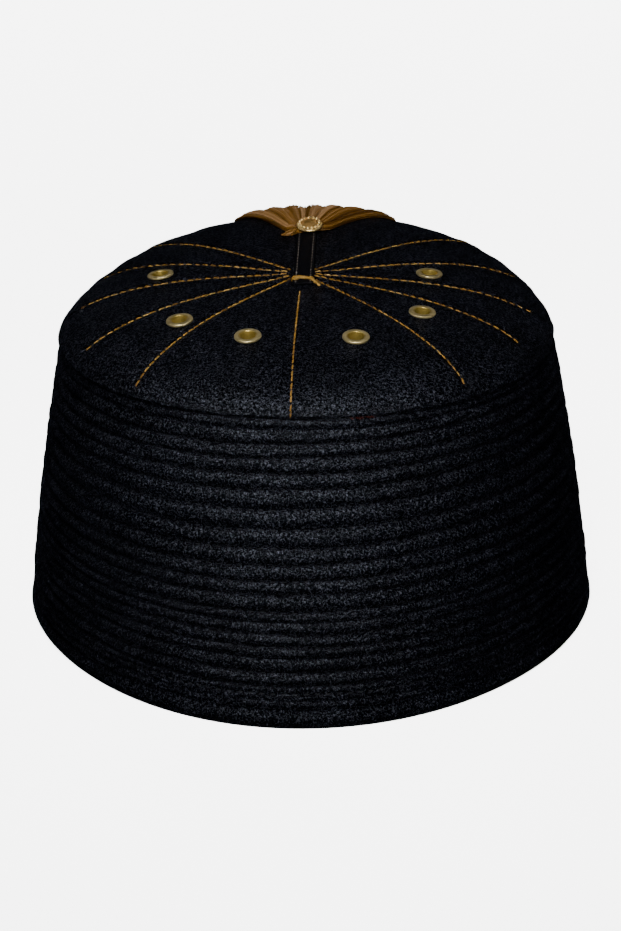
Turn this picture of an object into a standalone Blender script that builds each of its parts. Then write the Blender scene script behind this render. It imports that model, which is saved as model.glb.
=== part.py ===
"""A tall felt fez: a quilted side band, a domed crown with six eyelets, and a silk tassel.

Metres, +Z up. The origin is the middle of the rim on the surface that the hat rests on, and the
front of the hat faces -Y. Angles on the hat run from the front, positive towards +X.
"""

import math
from typing import NamedTuple

import bmesh
import bpy
from mathutils import Matrix, Vector

# Overall shape
RIM_RADIUS = 0.0960          # mean outer radius of the side band at the rim
SHOULDER_RADIUS = 0.0819     # mean outer radius where the side turns into the crown
SHOULDER_HEIGHT = 0.0986
SIDE_BULGE = 0.0015         # how far the side swells out half way up
CROWN_RISE = 0.0141         # height of the crown's middle above the shoulder
SHOULDER_ROUND = 0.570       # a low value keeps the shoulder full
DOME_ROUND = 1.463           # a high value keeps the middle flat
OVAL = 0.050                 # the hat is longer front to back than side to side
EGG = -0.038                 # the crown narrows to the back
RIM_SQUARING = 0.013
CROWN_SQUARING = -0.002
SEGMENTS = 48
GAP = 0.0003                 # clearance where two pieces touch

# Side band
BAND_WALL = 0.0031
GROOVE_DEPTH = 0.0010
GROOVE_SHARE = 0.22          # a narrow roll has a groove this share of its height
INNER_RINGS = 4

# Crown
CROWN_WALL = 0.0026
SEAM_ROLL = 0.0010           # how far the crown's edge curls in at the seam
CROWN_STEPS = (0, 12, 24, 36, 46, 55, 63, 70, 76, 81, 85.5)   # degrees of the dome's quarter turn
INNER_STEPS = (0, 18, 34, 48, 60, 70, 80)

# Eyelets
EYELET_RADIUS = 0.00425
EYELET_BORE = 0.0026
EYELET_BARREL = 0.0031
EYELET_HEIGHT = 0.0010
EYELET_SIDES = 12

# Strap, cap and tassel
STRAP_WIDTH = 0.0068
STRAP_THICKNESS = 0.0008
STRAP_FRONT = Vector((-0.0009, -0.0090))
STRAP_BACK = Vector((-0.0026, 0.0366))
STRAP_STATIONS = 11
CAP_CENTRE = Vector((-0.0024, 0.0402))
CAP_RADIUS = 0.0042
CAP_TILT = math.radians(12)
CAP_LIFT = 0.0026            # underside of the cap above the crown, at its middle
CAP_SIDES = 16
TASSEL_HEAD_LEFT = Vector((-0.0094, 0.0363))
TASSEL_HEAD_RIGHT = Vector((0.0031, 0.0398))
TASSEL_SPREAD = math.radians(27.5)
TASSEL_THICKNESS = 0.0028
TASSEL_HEAD_THICKNESS = 0.0010
TASSEL_END_HEIGHT = 0.0250   # where the locks end above the surface, at the hat's back
TASSEL_LOCKS = 7
CROWN_STATIONS = 9           # loops of the tassel over the crown
SIDE_STATIONS = 6            # loops of the tassel down the side
PATH_STEP = 0.0010
LOCK_RELIEF = 0.35           # how deep the furrows between the locks are, as a share of the thickness
LOCK_POINT = 0.0060          # how far the middle of a lock hangs below its sides


class Roll(NamedTuple):
    """One quilted roll of the side band."""

    height: float            # from the groove below it to the groove above it
    fullness: float          # 1 swells it to the band's outline, less leaves it flatter


# From the rim up.
ROLLS = (
    Roll(0.0063, 1.00), Roll(0.0029, 0.80), Roll(0.0022, 0.75), Roll(0.0022, 0.75),
    Roll(0.0043, 0.95), Roll(0.0046, 1.00), Roll(0.0033, 0.85), Roll(0.0039, 0.90),
    Roll(0.0038, 0.90), Roll(0.0032, 0.85), Roll(0.0053, 1.00), Roll(0.0041, 0.95),
    Roll(0.0050, 1.00), Roll(0.0052, 1.00), Roll(0.0058, 1.00), Roll(0.0062, 1.00),
    Roll(0.0059, 1.00), Roll(0.0047, 1.00), Roll(0.0047, 1.00), Roll(0.0044, 1.00),
    Roll(0.0045, 1.00), Roll(0.0034, 0.90),
)
SEAM_HEIGHT = sum(roll.height for roll in ROLLS)   # the groove between the band and the crown


class Eyelet(NamedTuple):
    """Where one eyelet sits on the crown."""

    angle: float             # degrees from the front
    reach: float             # distance from the crown's middle, seen from above


EYELETS = (
    Eyelet(-90.5, 0.0474), Eyelet(-43.6, 0.0544), Eyelet(-16.3, 0.0542),
    Eyelet(19.5, 0.0545), Eyelet(50.6, 0.0490), Eyelet(93.2, 0.0389),
)


def plan(angle, rise):
    """Outline seen from above, as a share of the mean radius; rise is 0 at the rim, 1 on the crown."""
    squaring = RIM_SQUARING + (CROWN_SQUARING - RIM_SQUARING) * rise
    return (1 + OVAL * math.cos(2 * angle) + EGG * rise * math.cos(3 * angle)
            + squaring * math.cos(4 * angle))


def side_radius(height):
    """Mean outer radius of the side at a height."""
    rise = height / SHOULDER_HEIGHT
    return (RIM_RADIUS + (SHOULDER_RADIUS - RIM_RADIUS) * rise
            + SIDE_BULGE * 4 * rise * (1 - rise))


def crown_profile(turn):
    """Mean radius and height of the crown, from the shoulder (turn 0) to its middle (90 degrees)."""
    sine = math.sin(turn)
    cosine = max(math.cos(turn), 0.0)
    return (SHOULDER_RADIUS * cosine ** SHOULDER_ROUND,
            SHOULDER_HEIGHT + CROWN_RISE * sine ** DOME_ROUND)


def on_hat(angle, radius, height):
    """A point at a mean radius and height, with the hat's outline worked in."""
    rise = min(max(height / SHOULDER_HEIGHT, 0.0), 1.0)
    reach = radius * plan(angle, rise)
    return Vector((reach * math.sin(angle), -reach * math.cos(angle), height))


def crown_turn(x, y):
    """The angle and the turn of the crown's surface above or below a point of the plan."""
    angle = math.atan2(x, -y)
    share = math.hypot(x, y) / (SHOULDER_RADIUS * plan(angle, 1.0))
    return angle, math.acos(min(share, 1.0) ** (1 / SHOULDER_ROUND))


def crown_point(x, y):
    """The crown's outer surface over a point of the plan."""
    return Vector((x, y, crown_profile(crown_turn(x, y)[1])[1]))


def crown_normal(x, y, step=0.0005):
    """The outward direction of the crown's surface over a point of the plan."""
    along_x = crown_point(x + step, y) - crown_point(x - step, y)
    along_y = crown_point(x, y + step) - crown_point(x, y - step)
    return along_x.cross(along_y).normalized()


def material(name, colour, roughness, metallic=0.0):
    """A plain Principled material."""
    result = bpy.data.materials.new(name)
    result.use_nodes = True
    shader = result.node_tree.nodes["Principled BSDF"]
    shader.inputs["Base Color"].default_value = (*colour, 1.0)
    shader.inputs["Roughness"].default_value = roughness
    shader.inputs["Metallic"].default_value = metallic
    return result


def add_object(name, mesh, finish):
    """Put a mesh in the scene under a name, with a material."""
    mesh.materials.append(finish)
    mesh.shade_smooth()
    mesh.set_sharp_from_angle(angle=math.radians(40))
    result = bpy.data.objects.new(name, mesh)
    bpy.context.scene.collection.objects.link(result)
    return result


def join_loops(shape, lower, upper):
    """Four-sided faces between two loops of vertices."""
    for i in range(len(lower)):
        j = (i + 1) % len(lower)
        shape.faces.new((lower[i], lower[j], upper[j], upper[i]))


def finished_mesh(name, shape):
    """A mesh from a bmesh, with its faces pointing out."""
    bmesh.ops.recalc_face_normals(shape, faces=shape.faces)
    mesh = bpy.data.meshes.new(name)
    shape.to_mesh(mesh)
    shape.free()
    return mesh


def skin(name, sections, closed_run=False):
    """A closed mesh through loops of points that all have the same number of points.

    closed_run joins the last loop to the first; otherwise a flat face closes each of the two.
    """
    shape = bmesh.new()
    loops = [[shape.verts.new(point) for point in section] for section in sections]
    for lower, upper in zip(loops, loops[1:]):
        join_loops(shape, lower, upper)
    if closed_run:
        join_loops(shape, loops[-1], loops[0])
    else:
        shape.faces.new(loops[0])
        shape.faces.new(loops[-1])
    return finished_mesh(name, shape)


def hat_ring(radius, height):
    """One loop round the hat."""
    return [on_hat(2 * math.pi * i / SEGMENTS, radius, height) for i in range(SEGMENTS)]


def roll_points():
    """Radius and height of the band's outer side, from the rim up, three points to a roll."""
    points = []
    low = 0.0
    for roll in ROLLS:
        groove = min(GROOVE_DEPTH, GROOVE_SHARE * roll.height)
        sunk = GROOVE_DEPTH * (1 - roll.fullness)
        for share, depth in ((0.0, groove), (0.25, sunk), (0.72, sunk)):
            height = low + share * roll.height
            points.append((side_radius(height) - depth, height))
        low += roll.height
    points.append((side_radius(low) - GROOVE_DEPTH, low - GAP / 2))
    return points


def build_side_band(finish):
    """The quilted wall: rolls outside, a smooth wall inside, flat rims below and above."""
    outer = roll_points()
    top = outer[-1][1]
    inner = [(side_radius(top * i / INNER_RINGS) - BAND_WALL, top * i / INNER_RINGS)
             for i in range(INNER_RINGS, -1, -1)]
    sections = [hat_ring(radius, height) for radius, height in outer + inner]
    return add_object("side_band", skin("side_band", sections, closed_run=True), finish)


def inset_profile(points, distance):
    """Points of a profile moved square to it, towards the inside of the hat."""
    result = []
    for i, (radius, height) in enumerate(points):
        before = points[max(i - 1, 0)]
        after = points[min(i + 1, len(points) - 1)]
        run = Vector((after[0] - before[0], after[1] - before[1])).normalized()
        result.append((radius - run.y * distance, height + run.x * distance))
    return result


def build_crown(finish, cutter):
    """The domed shell, its edge curled in at the seam, with the eyelets' holes cut through."""
    low = SEAM_HEIGHT + GAP / 2
    crest = low + 0.4 * (SHOULDER_HEIGHT - low)
    edge = [(side_radius(low) - SEAM_ROLL, low), (side_radius(crest), crest)]
    outer = edge + [crown_profile(math.radians(step)) for step in CROWN_STEPS]
    dome = inset_profile([crown_profile(math.radians(step)) for step in INNER_STEPS], CROWN_WALL)
    inner = [(side_radius(low) - BAND_WALL, low)] + dome
    shape = bmesh.new()
    rims = []
    for profile, middle in ((outer, SHOULDER_HEIGHT + CROWN_RISE),
                            (inner, SHOULDER_HEIGHT + CROWN_RISE - CROWN_WALL)):
        loops = [[shape.verts.new(point) for point in hat_ring(radius, height)]
                 for radius, height in profile]
        for lower, upper in zip(loops, loops[1:]):
            join_loops(shape, lower, upper)
        pole = shape.verts.new((0, 0, middle))
        for i in range(SEGMENTS):
            shape.faces.new((loops[-1][i], loops[-1][(i + 1) % SEGMENTS], pole))
        rims.append(loops[0])
    join_loops(shape, *rims)
    mesh = finished_mesh("crown", shape)
    crown = add_object("crown", mesh, finish)
    cut = crown.modifiers.new("eyelet_holes", "BOOLEAN")
    cut.operation = "DIFFERENCE"
    cut.solver = "EXACT"
    cut.object = cutter
    return crown


def eyelet_frame(eyelet):
    """The place of an eyelet: its origin on the crown's surface and +Z straight out of it."""
    angle = math.radians(eyelet.angle)
    x, y = eyelet.reach * math.sin(angle), -eyelet.reach * math.cos(angle)
    turn = crown_normal(x, y).to_track_quat("Z", "Y")
    return Matrix.Translation(crown_point(x, y)) @ turn.to_matrix().to_4x4()


def build_hole_cutter(finish):
    """Six short rods through the crown, which cut the eyelets' holes and aren't part of the hat."""
    shape = bmesh.new()
    for eyelet in EYELETS:
        rod = bmesh.ops.create_cone(shape, cap_ends=True, segments=EYELET_SIDES,
                                    radius1=EYELET_BARREL + GAP, radius2=EYELET_BARREL + GAP,
                                    depth=CROWN_WALL * 4)
        bmesh.ops.transform(shape, matrix=eyelet_frame(eyelet), verts=rod["verts"])
    cutter = add_object("hole_cutter", finished_mesh("hole_cutter", shape), finish)
    cutter.hide_render = True
    cutter.display_type = "WIRE"
    return cutter


def turned(name, profile, sides, closed_run=True):
    """A round shape about Z from a profile of radius and height."""
    sections = [[Vector((radius * math.cos(2 * math.pi * i / sides),
                         radius * math.sin(2 * math.pi * i / sides), height))
                 for i in range(sides)] for radius, height in profile]
    return skin(name, sections, closed_run=closed_run)


def build_eyelets(finish):
    """Brass rings with a rolled flange above the crown, a barrel through it and a flange below."""
    top, low = GAP, -CROWN_WALL - GAP
    foot = low - EYELET_HEIGHT * 0.7
    profile = (
        (EYELET_RADIUS, top), (EYELET_RADIUS, top + 0.3 * EYELET_HEIGHT),
        (0.82 * EYELET_RADIUS, EYELET_HEIGHT), (1.15 * EYELET_BORE, EYELET_HEIGHT),
        (EYELET_BORE, 0.5 * EYELET_HEIGHT), (EYELET_BORE, foot),
        (0.9 * EYELET_RADIUS, foot), (0.9 * EYELET_RADIUS, low), (EYELET_BARREL, low),
        (EYELET_BARREL, top),
    )
    mesh = turned("eyelet", profile, EYELET_SIDES)
    for number, eyelet in enumerate(EYELETS, start=1):
        ring = add_object(f"eyelet_{number}", mesh if number == 1 else mesh.copy(), finish)
        ring.matrix_world = eyelet_frame(eyelet)


def build_strap(finish):
    """The flat tape, following the crown from just before its middle to the tassel's cap."""
    run = STRAP_BACK - STRAP_FRONT
    across = Vector((run.y, -run.x)).normalized() * STRAP_WIDTH / 2
    sections = []
    for i in range(STRAP_STATIONS):
        middle = STRAP_FRONT + run * i / (STRAP_STATIONS - 1)
        lift = crown_normal(middle.x, middle.y)
        left, right = middle - across, middle + across
        base = [crown_point(left.x, left.y), crown_point(right.x, right.y)]
        sections.append([base[0] + lift * GAP, base[1] + lift * GAP,
                         base[1] + lift * (GAP + STRAP_THICKNESS),
                         base[0] + lift * (GAP + STRAP_THICKNESS)])
    return add_object("tassel_strap", skin("tassel_strap", sections), finish)


def build_cap(finish):
    """The brass button: a flat flange, a raised ring for the beads and a low dome in the middle."""
    profile = (
        (0.60 * CAP_RADIUS, 0.0), (CAP_RADIUS, 0.0), (CAP_RADIUS, 0.0005), (0.93 * CAP_RADIUS, 0.0008),
        (0.88 * CAP_RADIUS, 0.0013), (0.72 * CAP_RADIUS, 0.0013), (0.66 * CAP_RADIUS, 0.0009),
        (0.35 * CAP_RADIUS, 0.0014),
    )
    cap = add_object("tassel_cap", turned("tassel_cap", profile, CAP_SIDES, closed_run=False), finish)
    cap.location = crown_point(*CAP_CENTRE) + Vector((0, 0, CAP_LIFT))
    cap.rotation_euler = (CAP_TILT, 0, 0)
    return cap


def tassel_path(across):
    """Angle and course of one line of the tassel over the crown, from the head to the shoulder.

    across runs from -1 at the fan's left edge to 1 at its right edge. The line is straight, seen
    from above. The course is 0 at the crown's middle and 1 at the shoulder.
    """
    start = TASSEL_HEAD_LEFT.lerp(TASSEL_HEAD_RIGHT, (across + 1) / 2)
    heading = Vector((math.sin(TASSEL_SPREAD * across), math.cos(TASSEL_SPREAD * across)))
    points = []
    course = 0.0
    while course < 0.97:
        spot = start + heading * PATH_STEP * len(points)
        angle, turn = crown_turn(spot.x, spot.y)
        course = 1 - turn / (math.pi / 2)
        points.append((angle, course))
    return points


def shell_point(angle, course):
    """A point of the hat's outer shell at an angle and a course down from the crown's middle."""
    if course <= 1:
        radius, height = crown_profile((1 - course) * math.pi / 2)
    else:
        height = SHOULDER_HEIGHT * (2 - course)
        radius = side_radius(height)
    return on_hat(angle, radius, height)


def shell_normal(angle, course, step=0.01):
    """The outward direction of the shell there."""
    down = shell_point(angle, course + step) - shell_point(angle, course - step)
    round_hat = shell_point(angle + step, course) - shell_point(angle - step, course)
    return down.cross(round_hat).normalized()


def tassel_line(across, extra):
    """Points and outward directions along one line of the tassel, which ends extra metres lower."""
    path = tassel_path(across)
    stops = [path[0][1] + (1 - path[0][1]) * i / CROWN_STATIONS for i in range(CROWN_STATIONS)]
    end = 2 - (TASSEL_END_HEIGHT - extra) / SHOULDER_HEIGHT
    stops += [1 + (end - 1) * i / SIDE_STATIONS for i in range(SIDE_STATIONS + 1)]
    result = []
    for course in stops:
        index = next((i for i, spot in enumerate(path) if spot[1] > course), len(path)) - 1
        angle = path[index][0]
        if index + 1 < len(path):
            share = (course - path[index][1]) / (path[index + 1][1] - path[index][1])
            angle += (path[index + 1][0] - angle) * share
        result.append((shell_point(angle, course), shell_normal(angle, course)))
    return result


def tassel_thickness(along, across, in_lock):
    """Thickness of the tassel; in_lock is 1 on the crest of a lock and 0 in a furrow."""
    head = min(along / 0.12, 1.0)
    body = TASSEL_HEAD_THICKNESS + (TASSEL_THICKNESS - TASSEL_HEAD_THICKNESS) * head
    edge = 0.45 + 0.55 * math.sqrt(max(1 - across * across, 0.0))
    tail = 1 - 0.45 * max(along - 0.7, 0.0) / 0.3
    return body * edge * tail * (1 - LOCK_RELIEF * (1 - in_lock) * head)


def build_tassel(finish):
    """One body: a flat head under the cap and locks side by side over the crown and down the back."""
    columns = 2 * TASSEL_LOCKS + 1
    lines = []
    for column in range(columns):
        across = -1 + 2 * column / (columns - 1)
        in_lock = column % 2
        lines.append((across, in_lock, tassel_line(across, LOCK_POINT * in_lock)))
    sections = []
    stations = CROWN_STATIONS + SIDE_STATIONS
    for station in range(stations + 1):
        along = station / stations
        under = [line[station][0] + line[station][1] * 1.5 * GAP for _, _, line in lines]
        over = [line[station][0]
                + line[station][1] * (1.5 * GAP + tassel_thickness(along, across, in_lock))
                for across, in_lock, line in lines]
        sections.append(under + over[::-1])
    return add_object("tassel", skin("tassel", sections), finish)


def main():
    """Clear the scene and build the hat."""
    for old in list(bpy.data.objects):
        bpy.data.objects.remove(old)
    felt = material("felt", (0.010, 0.011, 0.018), 0.95)
    brass = material("brass", (0.62, 0.47, 0.20), 0.35, metallic=1.0)
    tape = material("tape", (0.006, 0.006, 0.009), 0.75)
    silk = material("silk", (0.42, 0.25, 0.06), 0.45)
    build_side_band(felt)
    build_crown(felt, build_hole_cutter(felt))
    build_eyelets(brass)
    build_strap(tape)
    build_cap(brass)
    build_tassel(silk)


main()
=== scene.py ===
"""Looks of a tall felt fez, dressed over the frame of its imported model.

Metres, +Z up. The front of the hat faces -Y and the middle of its rim is the origin. Angles on the
hat run from the front, positive towards +X. Everything rides on the one body of the hat.
"""

import logging
import math
import random
from bisect import bisect_right
from dataclasses import dataclass, field
from enum import Enum
from itertools import accumulate
from typing import Iterable, Sequence

import bmesh
import bpy
from mathutils import Matrix, Vector, noise


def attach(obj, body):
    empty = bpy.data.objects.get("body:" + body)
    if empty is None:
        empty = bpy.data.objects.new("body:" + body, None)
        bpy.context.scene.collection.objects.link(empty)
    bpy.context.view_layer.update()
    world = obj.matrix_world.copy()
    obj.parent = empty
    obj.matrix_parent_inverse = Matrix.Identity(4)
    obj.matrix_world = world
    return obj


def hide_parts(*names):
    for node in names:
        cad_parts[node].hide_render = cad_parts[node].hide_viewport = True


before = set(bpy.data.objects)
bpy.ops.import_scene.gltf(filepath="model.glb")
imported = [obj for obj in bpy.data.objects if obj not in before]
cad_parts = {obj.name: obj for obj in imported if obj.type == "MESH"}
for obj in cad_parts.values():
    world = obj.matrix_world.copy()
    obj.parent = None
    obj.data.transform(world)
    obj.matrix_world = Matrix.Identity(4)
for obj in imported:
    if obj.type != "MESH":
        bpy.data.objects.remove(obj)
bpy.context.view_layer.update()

LOG = logging.getLogger("fez")
BODY = "root"
GAP = 0.0003                 # clearance where two pieces touch
FULL_TURN = 2 * math.pi

Colour = tuple[float, float, float]
Profile = list[tuple[float, float]]


class Slot(Enum):
    """Names for the four kinds of finish."""

    FELT = "felt"
    TAPE = "tape"
    BRASS = "brass"
    SILK = "silk"


def clamped(value: float) -> float:
    """A value held between 0 and 1."""
    return min(max(value, 0.0), 1.0)


def facing(angle: float, slope: float = 0.0) -> Vector:
    """The level direction at an angle from the hat's front, tilted up by a slope."""
    return Vector((math.sin(angle), -math.cos(angle), slope))


def grey(level: float) -> Colour:
    """A colour without a hue."""
    return (level, level, level)


# Places and routes


@dataclass(frozen=True)
class Spot:
    """A place on a surface and the direction straight out of it there."""

    point: Vector
    out: Vector

    def lifted(self, height: float) -> "Spot":
        """The same place, moved out by a height."""
        return Spot(self.point + self.out * height, self.out)


class Route:
    """A run of spots that gives the spot at any distance from its start."""

    def __init__(self, spots: Sequence[Spot]) -> None:
        """Measure the run.

        Args:
            spots: The spots in order.
        """
        self.spots = list(spots)
        steps = ((b.point - a.point).length for a, b in zip(self.spots, self.spots[1:]))
        self.marks = [0.0, *accumulate(steps)]

    @property
    def length(self) -> float:
        """Length of the whole run."""
        return self.marks[-1]

    def at(self, distance: float) -> Spot:
        """The spot at a distance from the start.

        Args:
            distance: Distance along the run, held within its ends.

        Returns:
            The spot there.
        """
        distance = min(max(distance, 0.0), self.length)
        index = min(bisect_right(self.marks, distance), len(self.marks) - 1) - 1
        span = self.marks[index + 1] - self.marks[index]
        share = (distance - self.marks[index]) / span if span else 0.0
        before, after = self.spots[index], self.spots[index + 1]
        return Spot(before.point.lerp(after.point, share), before.out.lerp(after.out, share))


# Shape of the hat


@dataclass(frozen=True)
class HatForm:
    """The outer surface of the hat, which every piece lies on."""

    rim_radius: float = 0.0960
    shoulder_radius: float = 0.0819
    shoulder_height: float = 0.0986
    side_bulge: float = 0.0015
    crown_rise: float = 0.0141
    shoulder_round: float = 0.570
    dome_round: float = 1.463
    oval: float = 0.050
    egg: float = -0.038
    rim_squaring: float = 0.013
    crown_squaring: float = -0.002

    def plan(self, angle: float, rise: float) -> float:
        """Outline seen from above.

        Args:
            angle: Angle round the hat from the front, in radians.
            rise: 0 at the rim and 1 on the crown.

        Returns:
            The outline's reach as a share of the mean radius.
        """
        squaring = self.rim_squaring + (self.crown_squaring - self.rim_squaring) * rise
        return (1 + self.oval * math.cos(2 * angle) + self.egg * rise * math.cos(3 * angle)
                + squaring * math.cos(4 * angle))

    def side_radius(self, height: float) -> float:
        """Mean outer radius of the side.

        Args:
            height: Height above the surface that the hat rests on.

        Returns:
            The radius in metres.
        """
        rise = height / self.shoulder_height
        return (self.rim_radius + (self.shoulder_radius - self.rim_radius) * rise
                + self.side_bulge * 4 * rise * (1 - rise))

    def crown_profile(self, turn: float) -> tuple[float, float]:
        """Section of the crown.

        Args:
            turn: 0 at the shoulder and a quarter turn at the middle, in radians.

        Returns:
            The mean radius and the height.
        """
        sine = max(math.sin(turn), 0.0)
        cosine = max(math.cos(turn), 0.0)
        return (self.shoulder_radius * cosine ** self.shoulder_round,
                self.shoulder_height + self.crown_rise * sine ** self.dome_round)

    def on_hat(self, angle: float, radius: float, height: float) -> Vector:
        """A point at an angle, a mean radius and a height, with the hat's outline worked in."""
        reach = radius * self.plan(angle, clamped(height / self.shoulder_height))
        return Vector((reach * math.sin(angle), -reach * math.cos(angle), height))

    def crown_turn(self, x: float, y: float) -> tuple[float, float]:
        """Where a point of the plan lies on the crown.

        Args:
            x: Place across the hat.
            y: Place along the hat.

        Returns:
            The angle from the front and the turn of the crown's section.
        """
        angle = math.atan2(x, -y)
        share = math.hypot(x, y) / (self.shoulder_radius * self.plan(angle, 1.0))
        return angle, math.acos(min(share, 1.0) ** (1 / self.shoulder_round))

    def crown_point(self, x: float, y: float) -> Vector:
        """The crown's surface over a point of the plan."""
        return Vector((x, y, self.crown_profile(self.crown_turn(x, y)[1])[1]))

    def crown_normal(self, x: float, y: float, step: float = 0.0005) -> Vector:
        """The outward direction of the crown over a point of the plan.

        Args:
            x: Place across the hat.
            y: Place along the hat.
            step: Half the span that the slope is measured over.

        Returns:
            A unit vector.
        """
        along_x = self.crown_point(x + step, y) - self.crown_point(x - step, y)
        along_y = self.crown_point(x, y + step) - self.crown_point(x, y - step)
        return along_x.cross(along_y).normalized()

    def crown_spot(self, x: float, y: float) -> Spot:
        """The crown's surface and its outward direction over a point of the plan."""
        return Spot(self.crown_point(x, y), self.crown_normal(x, y))

    def shell_point(self, angle: float, course: float) -> Vector:
        """A point of the whole outer shell.

        Args:
            angle: Angle round the hat from the front.
            course: 0 at the crown's middle, 1 at the shoulder and 2 at the rim.

        Returns:
            The point.
        """
        if course <= 1:
            radius, height = self.crown_profile((1 - course) * math.pi / 2)
        else:
            height = self.shoulder_height * (2 - course)
            radius = self.side_radius(height)
        return self.on_hat(angle, radius, height)

    def shell_normal(self, angle: float, course: float, step: float = 0.01) -> Vector:
        """The outward direction of the shell.

        Args:
            angle: Angle round the hat from the front.
            course: 0 at the crown's middle, 1 at the shoulder and 2 at the rim.
            step: Half the span that the slope is measured over.

        Returns:
            A unit vector.
        """
        down = self.shell_point(angle, course + step) - self.shell_point(angle, course - step)
        round_hat = self.shell_point(angle + step, course) - self.shell_point(angle - step, course)
        return down.cross(round_hat).normalized()

    def shell_spot(self, angle: float, course: float) -> Spot:
        """A point of the shell and its outward direction."""
        return Spot(self.shell_point(angle, course), self.shell_normal(angle, course))


# Making and dressing meshes


# places of the colour sockets on a Mix node
MIX_FACTOR, MIX_FIRST, MIX_SECOND, MIX_RESULT = 0, 6, 7, 2


class NodeSheet:
    """A new material with short calls for its nodes."""

    def __init__(self, name: str) -> None:
        """Start a material that holds one Principled shader.

        Args:
            name: Name of the material.
        """
        self.material = bpy.data.materials.new(name)
        self.material.use_nodes = True
        self.tree = self.material.node_tree
        self.shader = self.tree.nodes["Principled BSDF"]

    def add(self, kind: str, **settings: object) -> bpy.types.Node:
        """Add a node.

        Args:
            kind: Type of the node, without its ShaderNode prefix.
            **settings: Properties of the node.

        Returns:
            The node.
        """
        node = self.tree.nodes.new("ShaderNode" + kind)
        for key, value in settings.items():
            setattr(node, key, value)
        return node

    def link(self, source: bpy.types.NodeSocket, target: bpy.types.NodeSocket) -> None:
        """Join two sockets."""
        self.tree.links.new(source, target)

    def plain(self, **values: object) -> None:
        """Set the shader's own sockets, with underscores for the spaces in their names."""
        for key, value in values.items():
            self.shader.inputs[key.replace("_", " ")].default_value = value

    def coordinates(self) -> bpy.types.NodeSocket:
        """The piece's own coordinates, in metres."""
        return self.add("TexCoord").outputs["Object"]

    def noise(self, vector: bpy.types.NodeSocket, size: float, detail: float = 2.0,
              roughness: float = 0.5, distortion: float = 0.0) -> bpy.types.NodeSocket:
        """A noise pattern.

        Args:
            vector: Its coordinates.
            size: Size of its grains in metres.
            detail: How many finer layers it has.
            roughness: How strong the finer layers are.
            distortion: How far the grains are swirled.

        Returns:
            The factor socket.
        """
        node = self.add("TexNoise")
        values = {"Scale": 1 / size, "Detail": detail, "Roughness": roughness, "Distortion": distortion}
        for key, value in values.items():
            node.inputs[key].default_value = value
        self.link(vector, node.inputs["Vector"])
        return node.outputs["Fac"]

    def ramp(self, factor: bpy.types.NodeSocket,
             stops: Iterable[tuple[float, Colour]]) -> bpy.types.NodeSocket:
        """Colours along a factor.

        Args:
            factor: The factor socket.
            stops: Places from 0 to 1 with their colours.

        Returns:
            The colour socket.
        """
        node = self.add("ValToRGB")
        elements = node.color_ramp.elements
        stops = list(stops)
        while len(elements) < len(stops):
            elements.new(1.0)
        for element, (place, colour) in zip(elements, stops):
            element.position = place
            element.color = (*colour, 1.0)
        self.link(factor, node.inputs["Fac"])
        return node.outputs["Color"]

    def multiply(self, first: bpy.types.NodeSocket, second: bpy.types.NodeSocket) -> bpy.types.NodeSocket:
        """Two colours multiplied.

        Args:
            first: One colour.
            second: The other colour.

        Returns:
            The colour socket.
        """
        node = self.add("Mix", data_type="RGBA", blend_type="MULTIPLY")
        node.inputs[MIX_FACTOR].default_value = 1.0
        self.link(first, node.inputs[MIX_FIRST])
        self.link(second, node.inputs[MIX_SECOND])
        return node.outputs[MIX_RESULT]

    def relief(self, height: bpy.types.NodeSocket, distance: float, strength: float = 1.0,
               below: bpy.types.NodeSocket | None = None) -> bpy.types.NodeSocket:
        """A bump, linked to the shader.

        Args:
            height: The height pattern.
            distance: Height of the pattern's full range in metres.
            strength: How much of it shows.
            below: Normal that it is laid on, if there is one.

        Returns:
            The normal socket.
        """
        node = self.add("Bump")
        node.inputs["Strength"].default_value = strength
        node.inputs["Distance"].default_value = distance
        self.link(height, node.inputs["Height"])
        if below is not None:
            self.link(below, node.inputs["Normal"])
        self.link(node.outputs["Normal"], self.shader.inputs["Normal"])
        return node.outputs["Normal"]


@dataclass(frozen=True)
class Felt:
    """Thick fulled wool: blue-black, with paler fibres that catch the light as specks."""

    name: str = "wool_felt"
    ground: Colour = (0.0005, 0.0006, 0.0012)
    fibre: Colour = (0.0600, 0.0640, 0.0870)
    grain: float = 0.00062       # size of the fine specks
    lint: float = 0.0014         # size of the loose strands
    cloud: float = 0.0140        # size of the paler patches
    roughness: float = 0.44
    gloss: float = 0.36          # specular level of the palest fibres
    bare_gloss: float = 0.01     # specular level between them
    tint: Colour = (0.80, 0.86, 1.0)
    lint_relief: float = 0.00030
    grain_relief: float = 0.00026
    relief_share: float = 0.7

    def build(self) -> bpy.types.Material:
        """Make the material.

        Returns:
            The material.
        """
        sheet = NodeSheet(self.name)
        sheet.plain(Roughness=self.roughness, Specular_Tint=(*self.tint, 1.0))
        spot = sheet.coordinates()
        grain = sheet.noise(spot, self.grain, detail=3.0, roughness=0.62, distortion=0.9)
        lint = sheet.noise(spot, self.lint, detail=2.0, roughness=0.6, distortion=2.2)
        cloud = sheet.noise(spot, self.cloud, detail=2.0)
        specks = sheet.ramp(grain, ((0.54, self.ground), (0.78, self.fibre)))
        strands = sheet.ramp(lint, ((0.42, grey(0.40)), (0.66, grey(1.25))))
        patches = sheet.ramp(cloud, ((0.30, grey(0.72)), (0.70, (1.18, 1.18, 1.20))))
        colour = sheet.multiply(specks, strands)
        colour = sheet.multiply(colour, patches)
        sheet.link(colour, sheet.shader.inputs["Base Color"])
        sheen = sheet.ramp(grain, ((0.46, grey(self.bare_gloss)), (0.68, grey(self.gloss))))
        sheet.link(sheen, sheet.shader.inputs["Specular IOR Level"])
        coarse = sheet.relief(lint, self.lint_relief, self.relief_share)
        sheet.relief(grain, self.grain_relief, self.relief_share, below=coarse)
        return sheet.material


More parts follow.
